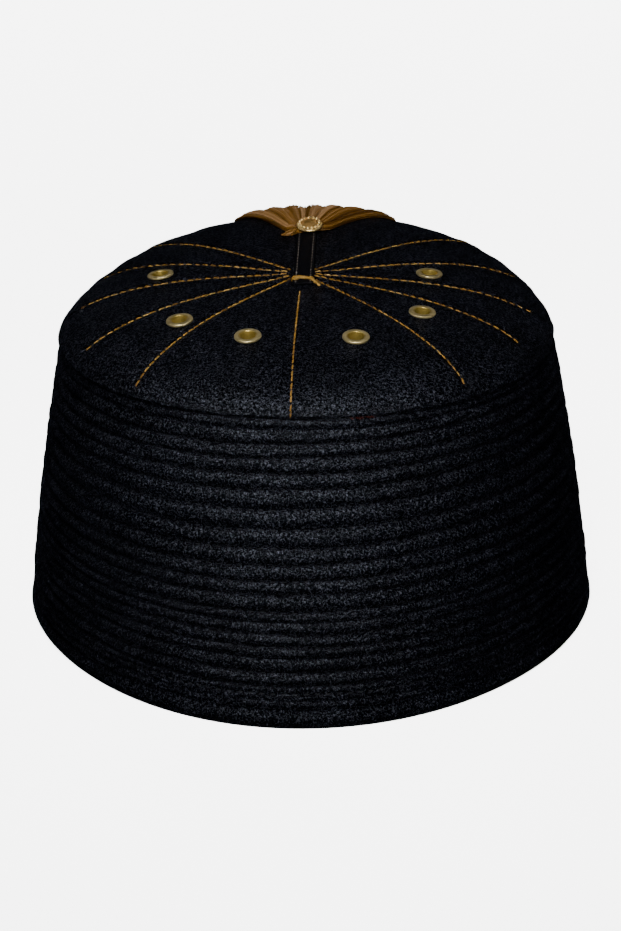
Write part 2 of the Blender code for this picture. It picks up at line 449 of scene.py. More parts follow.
WAVE_SCALE = 0.314           # scale at which a wave pattern repeats once in a metre


@dataclass(frozen=True)
class Tape:
    """Smooth woven tape with fine ribs across it."""

    name: str = "woven_tape"
    ground: Colour = (0.0006, 0.0006, 0.0011)
    crest: Colour = (0.0030, 0.0029, 0.0038)
    rib: float = 0.00045         # distance from rib to rib
    fuzz: float = 0.0006         # size of the uneven spots
    roughness: float = 0.60
    specular: float = 0.03
    rib_relief: float = 0.00008
    fuzz_relief: float = 0.00006

    def build(self) -> bpy.types.Material:
        """Make the material.

        Returns:
            The material.
        """
        sheet = NodeSheet(self.name)
        sheet.plain(Roughness=self.roughness, Specular_IOR_Level=self.specular)
        spot = sheet.coordinates()
        ribs = sheet.add("TexWave", wave_type="BANDS", bands_direction="Y")
        ribs.inputs["Scale"].default_value = WAVE_SCALE / self.rib
        ribs.inputs["Distortion"].default_value = 0.6
        ribs.inputs["Detail"].default_value = 2.0
        sheet.link(spot, ribs.inputs["Vector"])
        fuzz = sheet.noise(spot, self.fuzz, detail=3.0)
        woven = sheet.ramp(ribs.outputs["Fac"], ((0.15, self.ground), (0.95, self.crest)))
        dust = sheet.ramp(fuzz, ((0.35, grey(0.6)), (0.75, grey(1.5))))
        colour = sheet.multiply(woven, dust)
        sheet.link(colour, sheet.shader.inputs["Base Color"])
        fine = sheet.relief(fuzz, self.fuzz_relief, 0.6)
        sheet.relief(ribs.outputs["Fac"], self.rib_relief, 0.8, below=fine)
        return sheet.material


@dataclass(frozen=True)
class Brass:
    """Dull lacquered brass with darker, rougher patches, and a colour laid on where the mesh marks it:
    painted shade in the eyelets' barrels, a reddish tint on the cap's face.
    """

    name: str
    bright: Colour
    dull: Colour
    tint_and_shade: Colour              # its share of the bare colour where the mesh's layer is 0: painted shade for the eyelets, a tint for the cap
    patch: float = 0.0022        # size of the dull patches
    scratch: float = 0.00022     # size of the finest marks
    scratch_relief: float = 0.00002
    rough: float = 0.56          # roughness of the dull patches
    smooth: float = 0.30         # roughness of the bright ones
    metallic: float = 0.80

    def build(self) -> bpy.types.Material:
        """Make the material.

        Returns:
            The material.
        """
        sheet = NodeSheet(self.name)
        sheet.plain(Metallic=self.metallic)
        spot = sheet.coordinates()
        patch = sheet.noise(spot, self.patch, detail=4.0, roughness=0.65)
        scratch = sheet.noise(spot, self.scratch, detail=2.0)
        tone = sheet.ramp(patch, ((0.38, self.dull), (0.64, self.bright)))
        # The mesh's layer is 0 where a colour is laid over the brass: painted shade inside the eyelets'
        # barrels, the tint of the cap's face.
        untinted_unshaded = sheet.add("Attribute", attribute_name="untinted_unshaded").outputs["Fac"]
        shade_tint_ramp = sheet.ramp(untinted_unshaded, ((0.0, self.tint_and_shade), (1.0, grey(1.0))))
        sheet.link(sheet.multiply(tone, shade_tint_ramp), sheet.shader.inputs["Base Color"])
        worn = sheet.add("MapRange")
        worn.inputs["To Min"].default_value = self.rough
        worn.inputs["To Max"].default_value = self.smooth
        sheet.link(patch, worn.inputs["Value"])
        sheet.link(worn.outputs["Result"], sheet.shader.inputs["Roughness"])
        sheet.relief(scratch, self.scratch_relief, 0.5)
        return sheet.material


# The eyelets' last colour is painted shade inside their barrels; the cap's last colour tints its domed
# face.
EYELET_BRASS = Brass("eyelet_brass", (0.47, 0.38, 0.185), (0.32, 0.26, 0.120), (0.76, 0.67, 0.28))
CAP_BRASS = Brass("cap_brass", (0.88, 0.64, 0.28), (0.64, 0.45, 0.17), (0.62, 0.50, 0.36))


@dataclass(frozen=True)
class Thread:
    """Spun thread, its tone read from the stitches' own shade."""

    name: str
    shadow: Colour
    body: Colour
    shine: Colour
    roughness: float = 0.50
    specular: float = 0.18
    fleck: float = 0.00035       # size of its uneven spots
    fleck_relief: float = 0.00005

    def build(self) -> bpy.types.Material:
        """Make the material.

        Returns:
            The material.
        """
        sheet = NodeSheet(self.name)
        sheet.plain(Roughness=self.roughness, Specular_IOR_Level=self.specular)
        shade = sheet.add("Attribute", attribute_name="shade").outputs["Fac"]
        spot = sheet.coordinates()
        fleck = sheet.noise(spot, self.fleck, detail=2.0)
        tone = sheet.ramp(shade, ((0.0, self.shadow), (0.5, self.body), (1.0, self.shine)))
        flecks = sheet.ramp(fleck, ((0.35, (0.70, 0.68, 0.64)), (0.70, grey(1.2))))
        colour = sheet.multiply(tone, flecks)
        sheet.link(colour, sheet.shader.inputs["Base Color"])
        sheet.relief(fleck, self.fleck_relief, 0.6)
        return sheet.material


GOLD_THREAD = Thread("gold_thread", (0.050, 0.020, 0.002), (0.172, 0.090, 0.012), (0.28, 0.185, 0.057))
PALE_THREAD = Thread("pale_thread", (0.014, 0.011, 0.009), (0.050, 0.043, 0.038), (0.10, 0.09, 0.08))
RED_THREAD = Thread("red_thread", (0.007, 0.001, 0.001), (0.024, 0.004, 0.003), (0.052, 0.012, 0.009))
BLACK_THREAD = Thread("black_thread", (0.0012, 0.0012, 0.0020), (0.0030, 0.0030, 0.0046),
                      (0.0085, 0.0085, 0.0115), roughness=0.6, specular=0.15)
SILK = Thread("tassel_silk", (0.022, 0.008, 0.0014), (0.122, 0.054, 0.0062), (0.275, 0.165, 0.082),
              roughness=0.45, specular=0.16)


@dataclass(frozen=True)
class FloorPaint:
    """Pale matt studio floor with the faintest mottle."""

    name: str = "studio_floor"
    pale: float = 0.86
    shade: float = 0.985         # how dark the mottle is, as a share of the pale tone
    mottle: float = 0.25
    glow: float = 5.5            # lit from below, as a light table is

    def build(self) -> bpy.types.Material:
        """Make the material.

        Returns:
            The material.
        """
        sheet = NodeSheet(self.name)
        sheet.plain(Roughness=0.9, Specular_IOR_Level=0.1, Emission_Strength=self.glow,
                    Emission_Color=(1.0, 1.0, 1.0, 1.0))
        pattern = sheet.noise(sheet.coordinates(), self.mottle)
        tone = sheet.ramp(pattern, ((0.3, grey(self.pale * self.shade)), (0.7, grey(self.pale))))
        sheet.link(tone, sheet.shader.inputs["Base Color"])
        return sheet.material


def as_mesh(name: str, shape: bmesh.types.BMesh) -> bpy.types.Mesh:
    """Turn a finished shape into a mesh.

    Args:
        name: Name of the mesh.
        shape: The shape, which is freed.

    Returns:
        The mesh.
    """
    mesh = bpy.data.meshes.new(name)
    shape.to_mesh(mesh)
    shape.free()
    return mesh


def in_scene(name: str, data: bpy.types.ID) -> bpy.types.Object:
    """Put a mesh, a light or a camera in the scene.

    Args:
        name: Name of the new object.
        data: What it holds.

    Returns:
        The object.
    """
    thing = bpy.data.objects.new(name, data)
    bpy.context.scene.collection.objects.link(thing)
    return thing


def add_piece(name: str, shape: bmesh.types.BMesh, finish: bpy.types.Material,
              stands_for: Sequence[str] = ()) -> bpy.types.Object:
    """Put a finished mesh on the hat.

    Args:
        name: Name of the piece.
        shape: Its mesh, which is freed.
        finish: Its material.
        stands_for: Nodes of the frame that it replaces.

    Returns:
        The new object.
    """
    mesh = as_mesh(name, shape)
    mesh.materials.append(finish)
    mesh.shade_smooth()
    piece = in_scene(name, mesh)
    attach(piece, BODY)
    if stands_for:
        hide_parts(*stands_for)
    LOG.info("%s: %d faces", name, len(mesh.polygons))
    return piece


def spun(profile: Profile, segments: int, closed: bool) -> bmesh.types.BMesh:
    """Turn a section round Z.

    Args:
        profile: Radii and heights of the section.
        segments: How many steps a full turn has.
        closed: Whether the section's end joins its start.

    Returns:
        The turned mesh, with its faces pointing out.
    """
    shape = bmesh.new()
    chain = [shape.verts.new((radius, 0.0, height)) for radius, height in profile]
    pairs = list(zip(chain, chain[1:]))
    if closed:
        pairs.append((chain[-1], chain[0]))
    edges = [shape.edges.new(pair) for pair in pairs]
    bmesh.ops.spin(shape, geom=chain + edges, cent=(0, 0, 0), axis=(0, 0, 1), angle=FULL_TURN,
                   steps=segments, use_merge=True)
    bmesh.ops.remove_doubles(shape, verts=shape.verts, dist=1e-7)
    bmesh.ops.recalc_face_normals(shape, faces=shape.faces)
    return shape


class Strand:
    """A thin round tube that is laid again and again into one mesh."""

    def __init__(self, sides: int, stations: int) -> None:
        """Make the straight tube that every length is bent from.

        Args:
            sides: How many sides the tube has.
            stations: How many rings of vertices it has.
        """
        self.stations = stations
        shape = bmesh.new()
        bmesh.ops.create_cone(shape, cap_ends=True, segments=sides, radius1=1, radius2=1,
                              depth=stations - 1)
        runs = [edge for edge in shape.edges if abs(edge.verts[0].co.z - edge.verts[1].co.z) > 0.5]
        bmesh.ops.subdivide_edges(shape, edges=runs, cuts=stations - 2)
        bmesh.ops.translate(shape, verts=shape.verts, vec=(0, 0, (stations - 1) / 2))
        self.places = [(round(vert.co.z), vert.co.x, vert.co.y) for vert in shape.verts]
        self.template = as_mesh("strand", shape)

    def sheet(self) -> bmesh.types.BMesh:
        """Start a mesh to lay strands in.

        Returns:
            The empty mesh, with a layer for the strands' tones.
        """
        shape = bmesh.new()
        shape.verts.layers.float.new("shade")
        return shape

    def lay(self, target: bmesh.types.BMesh, spots: Sequence[Spot], radii: Sequence[float],
            shade: float, ply: float = 0.0, phase: float = 0.0, turns: float = 0.0) -> None:
        """Lay one length.

        Args:
            target: The mesh that it is added to.
            spots: Its middle line, one spot for each ring.
            radii: Its radius at each ring.
            shade: Its tone from 0 to 1.
            ply: How far a twisted ply lies off the middle line.
            phase: Where the ply's twist starts, in radians.
            turns: How many times the ply winds round the middle line.
        """
        target.from_mesh(self.template)
        target.verts.ensure_lookup_table()
        tone = target.verts.layers.float["shade"]
        frames = []
        last = self.stations - 1
        for index, spot in enumerate(spots):
            ahead = spots[min(index + 1, last)].point - spots[max(index - 1, 0)].point
            side = spot.out.cross(ahead).normalized()
            rise = ahead.cross(side).normalized()
            centre = spot.point
            if ply:
                twist = phase + turns * FULL_TURN * index / last
                centre = centre + (side * math.cos(twist) + rise * math.sin(twist)) * ply
            frames.append((centre, side, rise))
        for vert, (station, across, up) in zip(target.verts[-len(self.places):], self.places):
            centre, side, rise = frames[station]
            vert.co = centre + (side * across + rise * up) * radii[station]
            vert[tone] = shade


@dataclass
class Stitcher:
    """Sews rows of twisted stitches along routes."""

    pitch: float
    length: float
    radius: float
    proud: float             # height of a stitch's middle over the route
    sides: int = 6
    stations: int = 7
    plies: int = 2
    sink: float = 0.0004     # depth of a stitch's ends under the route
    seed: int = 11
    unevenness: float = 0.12
    slant: float = 0.0       # how far a stitch's ends lie to either side of the route
    ply_share: float = 0.45  # how far a ply lies off the stitch's middle, as a share of the radius
    ply_turns: float = 1.2   # how many times it winds round
    arch: float = 0.55       # below 1 a stitch rises steeply at its ends
    tip: float = 0.55        # its radius at the ends, as a share of the middle's
    tones: tuple[float, float] = (0.5, 0.17)     # middle and spread of the stitches' shades

    def __post_init__(self) -> None:
        """Make the tube and the source of chance."""
        self.strand = Strand(self.sides, self.stations)
        self.chance = random.Random(self.seed)
        self.shape = self.strand.sheet()

    def stitch(self, route: Route, start: float, length: float, tone: float) -> None:
        """Sew one stitch.

        Args:
            route: The row that it lies on.
            start: Distance of its start along the row.
            length: Its length.
            tone: Its shade from 0 to 1.
        """
        spots = []
        radii = []
        ply = self.ply_share * self.radius if self.plies > 1 else 0.0
        for index in range(self.stations):
            share = index / (self.stations - 1)
            arch = math.sin(math.pi * share)
            spot = route.at(start + length * share)
            lift = -self.sink + (self.sink + self.proud) * arch ** self.arch
            sideways = Vector((0, 0, 0))
            if self.slant:
                ahead = route.at(start + length).point - route.at(start).point
                sideways = ahead.cross(spot.out).normalized() * self.slant * (share - 0.5)
            spots.append(Spot(spot.point + sideways + spot.out * lift, spot.out))
            radii.append((self.radius - 0.5 * ply) * (self.tip + (1 - self.tip) * arch ** 0.5))
        for number in range(self.plies):
            self.strand.lay(self.shape, spots, radii, tone, ply, number * math.pi, self.ply_turns)

    def row(self, route: Route, margin: float = 0.0) -> None:
        """Sew a whole row.

        Args:
            route: The row.
            margin: Length left bare at its start.
        """
        count = round((route.length - margin) / self.pitch)
        pitch = (route.length - margin) / count
        for number in range(count):
            jitter = self.unevenness * self.chance.uniform(-1, 1)
            tone = clamped(self.chance.gauss(*self.tones))
            inner = 0 < number < count - 1
            start = margin + pitch * (number + (0.3 * jitter if inner else 0.0))
            self.stitch(route, start, self.length * (1 + jitter), tone)


# Side band


@dataclass(frozen=True)
class Roll:
    """One quilted roll of the side band."""

    height: float
    fullness: float


# From the rim up: height of each roll, and how far it swells to the band's outline.
ROLLS = tuple(Roll(height, fullness) for height, fullness in (
    (0.0063, 1.00), (0.0029, 0.80), (0.0022, 0.75), (0.0022, 0.75), (0.0043, 0.95),
    (0.0046, 1.00), (0.0033, 0.85), (0.0039, 0.90), (0.0038, 0.90), (0.0032, 0.85),
    (0.0053, 1.00), (0.0041, 0.95), (0.0050, 1.00), (0.0052, 1.00), (0.0058, 1.00),
    (0.0062, 1.00), (0.0059, 1.00), (0.0047, 1.00), (0.0047, 1.00), (0.0044, 1.00),
    (0.0045, 1.00), (0.0034, 0.90),
))


@dataclass(frozen=True)
class Ripple:
    """Hand-made unevenness that changes round the hat and from row to row."""

    turns: float             # how fast it changes round the hat
    rise: float              # how fast it changes with height, for each metre
    offset: tuple[float, float] = (0, 0)

    def at(self, angle: float, height: float) -> float:
        """Its value at an angle and a height, from about -1 to 1."""
        ring = Vector((math.sin(angle), math.cos(angle), 0.0))
        return noise.noise(ring * self.turns + Vector((*self.offset, height * self.rise)))


SLOW_DRIFT = Ripple(2.3, 140)
QUICK_DRIFT = Ripple(7.0, 260, (0, 5))
PUFFS = Ripple(11.0, 230, (3, 0))


@dataclass
class SideBand:
    """The quilted wall of the hat, with its rows of black stitches."""

    form: HatForm
    rolls: Sequence[Roll] = ROLLS
    wall: float = 0.0031
    groove_depth: float = 0.0015
    groove_share: float = 0.34
    seam_groove: float = 0.0004  # depth of the band's upper edge under the crown
    swell: float = 0.85          # a low value makes the rolls flatter and the grooves sharper
    segments: int = 480
    points_per_roll: int = 7
    inner_rings: int = 12
    row_wander: float = 0.00045
    puff: float = 0.00022
    lean: float = 0.026          # how much the upper rows rise towards +X across the front
    lean_foot: float = 0.030     # height where the lean starts
    lean_top: float = 0.050      # height where it is complete
    calm: float = 0.008          # the unevenness fades out over this height at either edge
    slope: float = 0.12          # how much the wall faces up
    edge_round: float = 0.0006
    seam_height: float = field(init=False)

    def __post_init__(self) -> None:
        """Add up the rolls."""
        self.seam_height = sum(roll.height for roll in self.rolls)

    def depth(self, roll: Roll, share: float) -> float:
        """How far the surface lies inside the band's outline.

        Args:
            roll: The roll.
            share: 0 at the groove below it and 1 at the groove above it.

        Returns:
            The depth in metres.
        """
        groove = min(self.groove_depth, self.groove_share * roll.height)
        sunk = self.groove_depth * (1 - roll.fullness)
        full = math.sin(math.pi * clamped(share)) ** self.swell
        return max(groove, sunk) + (sunk - max(groove, sunk)) * full

    def settle(self, angle: float, radius: float, height: float) -> Vector:
        """A point of the band with its hand-made unevenness.

        Args:
            angle: Angle round the hat from the front.
            radius: Mean radius before it.
            height: Height before it.

        Returns:
            The point.
        """
        free = clamped(min(height, self.seam_height - height) / self.calm)
        drift = SLOW_DRIFT.at(angle, height) + 0.5 * QUICK_DRIFT.at(angle, height)
        plump = PUFFS.at(angle, height)
        lean = clamped((height - self.lean_foot) / (self.lean_top - self.lean_foot))
        across = radius * math.sin(angle) * (0.5 + 0.5 * math.cos(angle))
        rise = free * (self.row_wander * drift + self.lean * lean * across)
        return self.form.on_hat(angle, radius + self.puff * plump * free, height + rise)

    def section(self) -> Profile:
        """The wall's section: rolls outside, a smooth wall inside, edges rounded over.

        Returns:
            The section's points.
        """
        points = []
        low = 0.0
        for roll in self.rolls:
            for step in range(self.points_per_roll):
                share = step / self.points_per_roll
                height = low + share * roll.height
                points.append((self.form.side_radius(height) - self.depth(roll, share), height))
            low += roll.height
        top = self.seam_height - GAP / 2
        points.append((self.form.side_radius(top) - self.seam_groove, top))
        for ring in range(self.inner_rings, -1, -1):
            height = self.edge_round + (top - 2 * self.edge_round) * ring / self.inner_rings
            points.append((self.form.side_radius(height) - self.wall, height))
        points.append((self.form.side_radius(0.0) - self.wall + self.edge_round, 0.0))
        return points

    def build(self, felt: bpy.types.Material) -> bpy.types.Object:
        """Make the wall.

        Args:
            felt: Its material.

        Returns:
            The piece.
        """
        shape = spun(self.section(), self.segments, closed=True)
        for vert in shape.verts:
            x, y, height = vert.co
            vert.co = self.settle(math.atan2(x, -y), math.hypot(x, y), height)
        return add_piece("quilted_band", shape, felt, ["side_band"])

    def build_quilting(self, thread: bpy.types.Material) -> bpy.types.Object:
        """Make the black stitches along the grooves.

        Args:
            thread: Their material.

        Returns:
            The piece.
        """
        sewer = Stitcher(pitch=0.0034, length=0.0027, radius=0.00022, proud=0.00018, sides=4,
                         stations=4, plies=1, seed=5)
        low = 0.0
        for below, above in zip(self.rolls, self.rolls[1:]):
            low += below.height
            depth = max(self.depth(below, 1.0), self.depth(above, 0.0))
            radius = self.form.side_radius(low) - depth
            angles = [FULL_TURN * step / self.segments for step in range(self.segments + 1)]
            sewer.row(Route([Spot(self.settle(angle, radius, low), facing(angle, self.slope).normalized())
                             for angle in angles]))
        return add_piece("quilting_stitches", sewer.shape, thread)


# Crown


@dataclass(frozen=True)
class SeamRow:
    """One row of topstitching, from near the crown's middle to the seam."""

    angle: float             # degrees from the front, where it would meet the seam
    bare: float              # length left unsewn next to the middle
    short: float             # length left unsewn on the crown next to the seam
    hook: float = 0.0        # how far its end bends towards the front


SEAM_ROWS = (
    SeamRow(-129.8, 0.0045, 0.0050), SeamRow(-105.1, 0.0045, 0.0050), SeamRow(-81.7, 0.0045, 0.0055),
    SeamRow(-57.2, 0.0045, 0.0036), SeamRow(-36.1, 0.0045, 0.0012, 0.0006), SeamRow(0.0, 0.0153, 0.0),
    SeamRow(39.6, 0.0040, 0.0024, 0.0010), SeamRow(63.3, 0.0040, 0.0062, 0.0016),
    SeamRow(82.8, 0.0040, 0.0060), SeamRow(110.0, 0.0040, 0.0050), SeamRow(137.1, 0.0040, 0.0050),
    SeamRow(180.0, 0.0060, 0.0040),
)


@dataclass(frozen=True)
class EyeletPlace:
    """Where one eyelet sits on the crown."""

    angle: float             # degrees from the front
    reach: float             # distance from the crown's middle, seen from above

    @property
    def plan(self) -> Vector:
        """Its place seen from above."""
        turn = math.radians(self.angle)
        return Vector((self.reach * math.sin(turn), -self.reach * math.cos(turn)))


EYELET_PLACES = (
    EyeletPlace(-90.5, 0.0474), EyeletPlace(-43.6, 0.0544), EyeletPlace(-16.3, 0.0542),
    EyeletPlace(19.5, 0.0545), EyeletPlace(50.6, 0.0490), EyeletPlace(93.2, 0.0389),
)


@dataclass
class Crown:
    """The domed top, drawn in along its sewn rows and pressed under its eyelets."""

    form: HatForm
    seam_height: float
    rows: Sequence[SeamRow] = SEAM_ROWS
    eyelets: Sequence[EyeletPlace] = EYELET_PLACES
    hub: tuple[float, float] = (-0.0018, -0.0003)    # where all rows aim
    wall: float = 0.0026
    seam_roll: float = 0.0010    # how far the lower edge turns in at the seam
    crest_share: float = 0.4     # height of the roll along the seam, as a share of the way up
    edge_dip: float = 0.00035    # how far the felt is drawn in over that roll
    edge_roll: float = 0.00045   # how far the roll swells out
    edge_puff: float = 0.00030   # unevenness of the roll
    edge_waves: float = 9.0      # how fast that changes round the hat
    edge_slope: float = 0.25     # how much the roll faces up
    skin: float = 0.0012         # depth under the form that counts as the outside
    segments: int = 480
    rings: int = 74
    ring_bias: float = 1.6       # above 1 the rings crowd towards the shoulder
    inner_rings: int = 16
    inner_bias: float = 1.2
    groove_depth: float = 0.00042
    groove_width: float = 0.0008
    ridge: float = 0.00014       # felt that stands up beside a row
    ridge_offset: float = 0.0024
    dimple: float = 0.00025      # depth that the felt is pressed down under an eyelet
    press: float = 0.0052        # how far round the eyelet
    dent: float = 0.00045        # soft dents near the seam
    dent_size: float = 0.011
    dents_from: float = 0.72     # share of the way to the shoulder where they start
    dip_from: float = 0.88       # share of it where the felt is drawn in to the seam
    hole: float = 0.0034
    row_end: float = 0.0961      # height where the rows stop above the seam
    row_steps: int = 160
    row_bias: float = 1.3        # above 1 the steps crowd towards the row's end
    hook_from: float = 0.9       # share of a row where its hook starts
    lines: list[tuple[Vector, Vector]] = field(init=False)

    def __post_init__(self) -> None:
        """Work out the rows seen from above."""
        self.lines = [self.row_line(row) for row in self.rows]

    @property
    def low(self) -> float:
        """Height of the shell's lower edge."""
        return self.seam_height + GAP / 2

    @property
    def crest(self) -> float:
        """Height of the crest of the roll along the seam."""
        return self.low + self.crest_share * (self.form.shoulder_height - self.low)

    def section(self) -> Profile:
        """The shell's section, from the outside's middle over the seam edge to the inside's.

        Returns:
            The section's points.
        """
        form, low, crest = self.form, self.low, self.crest
        outside = []
        for ring in range(self.rings + 1):
            share = 1 - (1 - ring / self.rings) ** self.ring_bias
            turn = math.acos(min(share, 1.0) ** (1 / form.shoulder_round))
            outside.append(form.crown_profile(turn))
        heights = [form.shoulder_height + (crest - form.shoulder_height) * step / 5
                   for step in range(1, 6)]
        heights += [low + (crest - low) * (1 - math.sin(math.radians(15 * step)))
                    for step in range(1, 7)]
        outside += [(form.side_radius(height) + self.edge_offset(height), height)
                    for height in heights]
        inside = [(form.side_radius(low) - self.wall, low)]
        for ring in range(self.inner_rings + 1):
            share = (1 - ring / self.inner_rings) ** self.inner_bias
            turn = math.acos(share ** (1 / form.shoulder_round))
            radius, height = form.crown_profile(turn)
            inside.append((max(radius - self.wall * share ** 3, 0.0), height - self.wall))
        return outside + inside

    def edge_offset(self, height: float) -> float:
        """How far the roll along the seam lies off the hat's plain form.

        Args:
            height: A height between the seam and the shoulder.

        Returns:
            The distance, above 0 outside the form.
        """
        low, crest = self.low, self.crest
        if height >= crest:
            drop = (self.form.shoulder_height - height) / (self.form.shoulder_height - crest)
            return (self.edge_dip + self.edge_roll) * math.sin(math.pi / 2 * drop) - self.edge_dip
        turn = min((crest - height) / (crest - low), 1.0)
        return self.edge_roll - self.seam_roll * (1 - math.sqrt(1 - turn * turn))

    def row_line(self, row: SeamRow) -> tuple[Vector, Vector]:
        """A row seen from above.

        Args:
            row: The row.

        Returns:
            Its start near the middle and its end on the shoulder.
        """
        turn = math.radians(row.angle)
        end = self.form.on_hat(turn, self.form.shoulder_radius, self.form.shoulder_height).to_2d()
        hub = Vector(self.hub)
        way = (end - hub).normalized()
        return hub + way * row.bare, end - way * row.short

    def pull(self, x: float, y: float) -> float:
        """How far the felt is drawn in or stands up over a point of the plan.

        Args:
            x: Place across the hat.
            y: Place along the hat.

        Returns:
            Height over the plain form, below 0 in a groove.
        """
        spot = Vector((x, y))
        height = 0.0
        for start, end in self.lines:
            run = end - start
            share = (spot - start).dot(run) / run.length_squared
            nearest = start + run * min(max(share, 0.0), 1.05)
            gap = (spot - nearest).length
            if gap > 4 * self.ridge_offset:
                continue
            height -= self.groove_depth * math.exp(-(gap / self.groove_width) ** 2)
            height += self.ridge * math.exp(-((gap - self.ridge_offset) / (0.5 * self.ridge_offset)) ** 2)
        for place in self.eyelets:
            gap = (spot - place.plan).length
            height -= self.dimple * math.exp(-(gap / self.press) ** 4)
        angle = math.atan2(x, -y)
        share = spot.length / (self.form.shoulder_radius * self.form.plan(angle, 1.0))
        near_seam = clamped((share - self.dents_from) / 0.2)
        dent = noise.noise(Vector((x, y, 0.0)) / self.dent_size)
        height -= self.edge_dip * clamped((share - self.dip_from) / 0.12) ** 2
        return height + self.dent * near_seam * dent

    def surface(self, x: float, y: float) -> Spot:
        """The dressed surface over a point of the plan."""
        return self.form.crown_spot(x, y).lifted(self.pull(x, y))

    def hole_cutter(self) -> bpy.types.Object:
        """Make short rods where the eyelets go through.

        Returns:
            The rods as one object.
        """
        shape = bmesh.new()
        for place in self.eyelets:
            rod = bmesh.ops.create_cone(shape, cap_ends=True, segments=48, radius1=self.hole,
                                        radius2=self.hole, depth=self.wall * 4)
            bmesh.ops.transform(shape, matrix=eyelet_frame(self.form, place), verts=rod["verts"])
        return in_scene("eyelet_rods", as_mesh("eyelet_rods", shape))

    def build(self, felt: bpy.types.Material) -> bpy.types.Object:
        """Make the shell and cut its holes.

        Args:
            felt: Its material.

        Returns:
            The piece.
        """
        shape = spun(self.section(), self.segments, closed=False)
        for vert in shape.verts:
            x, y, height = vert.co
            angle, radius = math.atan2(x, -y), math.hypot(x, y)
            point = self.form.on_hat(angle, radius, height)
            outer = self.form.crown_point(point.x, point.y)
            if height > self.form.shoulder_height and outer.z - point.z < self.wall * 0.5:
                point += self.form.crown_normal(point.x, point.y) * self.pull(point.x, point.y)
            elif height < self.form.shoulder_height and radius > self.form.side_radius(height) - self.skin:
                way = facing(angle)
                swell = math.sin(math.pi * (self.form.shoulder_height - height)
                                 / (self.form.shoulder_height - self.seam_height))
                point += way * self.edge_puff * swell * noise.noise(way * self.edge_waves)
            vert.co = point
        piece = add_piece("felt_crown", shape, felt, ["crown"])
        rods = self.hole_cutter()
        cut = piece.modifiers.new("eyelet_holes", "BOOLEAN")
        cut.operation = "DIFFERENCE"
        cut.solver = "EXACT"
        cut.object = rods
        graph = bpy.context.evaluated_depsgraph_get()
        holed = bpy.data.meshes.new_from_object(piece.evaluated_get(graph))
        piece.modifiers.clear()
        piece.data = holed
        holed.name = piece.name
        bpy.data.objects.remove(rods)
        return piece

    def row_route(self, row: SeamRow) -> Route:
        """The path of one row over the dressed surface, down to the seam.

        Args:
            row: The row.

        Returns:
            The route of its stitches.
        """
        start, end = self.row_line(row)
        last = self.row_steps - 1 if row.short else self.row_steps
        spots = []
        for step in range(self.row_steps):
            share = 1 - (1 - step / last) ** self.row_bias
            place = start.lerp(end, share)
            place.y -= row.hook * max((share - self.hook_from) / 0.1, 0.0) ** 2
            spots.append(self.surface(place.x, place.y))
        if row.short:
            return Route(spots)
        turn = math.radians(row.angle)
        for step in range(5):
            height = self.form.shoulder_height + (self.row_end - self.form.shoulder_height) * step / 4
            out = facing(turn, self.edge_slope).normalized()
            radius = self.form.side_radius(height) + self.edge_offset(height)
            point = self.form.on_hat(turn, radius, height)
            spots.append(Spot(point, out).lifted(-self.groove_depth * 0.3))
        return Route(spots)

    def build_topstitching(self, thread: bpy.types.Material) -> bpy.types.Object:
        """Make the gold rows.

        Args:
            thread: Their material.

        Returns:
            The piece.
        """
        sewer = Stitcher(pitch=0.0027, length=0.0025, radius=0.00025, proud=0.00020, seed=3,
                         slant=0.00022, sink=0.00025)
        for row in self.rows:
            sewer.row(self.row_route(row), margin=0.0002)
        return add_piece("topstitching", sewer.shape, thread)


@dataclass(frozen=True)
class SeamStitches:
    """A few mending stitches that show along the seam between the crown and the side."""

    name: str
    first: float             # degrees from the front
    last: float
    seed: int
    slope: float = 0.3       # how much the seam faces up

    def build(self, band: SideBand, thread: bpy.types.Material) -> bpy.types.Object:
        """Make the stitches.

        Args:
            band: The side band under the seam.
            thread: Their material.

        Returns:
            The piece.
        """
        form, height = band.form, band.seam_height
        steps = 24
        spots = []
        for step in range(steps + 1):
            turn = math.radians(self.first + (self.last - self.first) * step / steps)
            out = facing(turn, self.slope).normalized()
            point = form.on_hat(turn, form.side_radius(height) - 0.5 * band.seam_groove, height)
            spots.append(Spot(point, out))
        sewer = Stitcher(pitch=0.0015, length=0.0014, radius=0.00024, proud=0.00022, seed=self.seed,
                         slant=0.0007, sink=0.0002, unevenness=0.3)
        sewer.row(Route(spots))
        return add_piece(self.name, sewer.shape, thread)


SEAM_STITCHES = SeamStitches("seam_stitches", 12.4, 17.8, 31)


def eyelet_frame(form: HatForm, place: EyeletPlace) -> Matrix:
    """The place of an eyelet on the crown.

    Args:
        form: The hat's surface.
        place: Where the eyelet sits.

    Returns:
        A matrix with its origin on the surface and +Z straight out of it.
    """
    x, y = place.plan
    turn = form.crown_normal(x, y).to_track_quat("Z", "Y")
    return Matrix.Translation(form.crown_point(x, y)) @ turn.to_matrix().to_4x4()


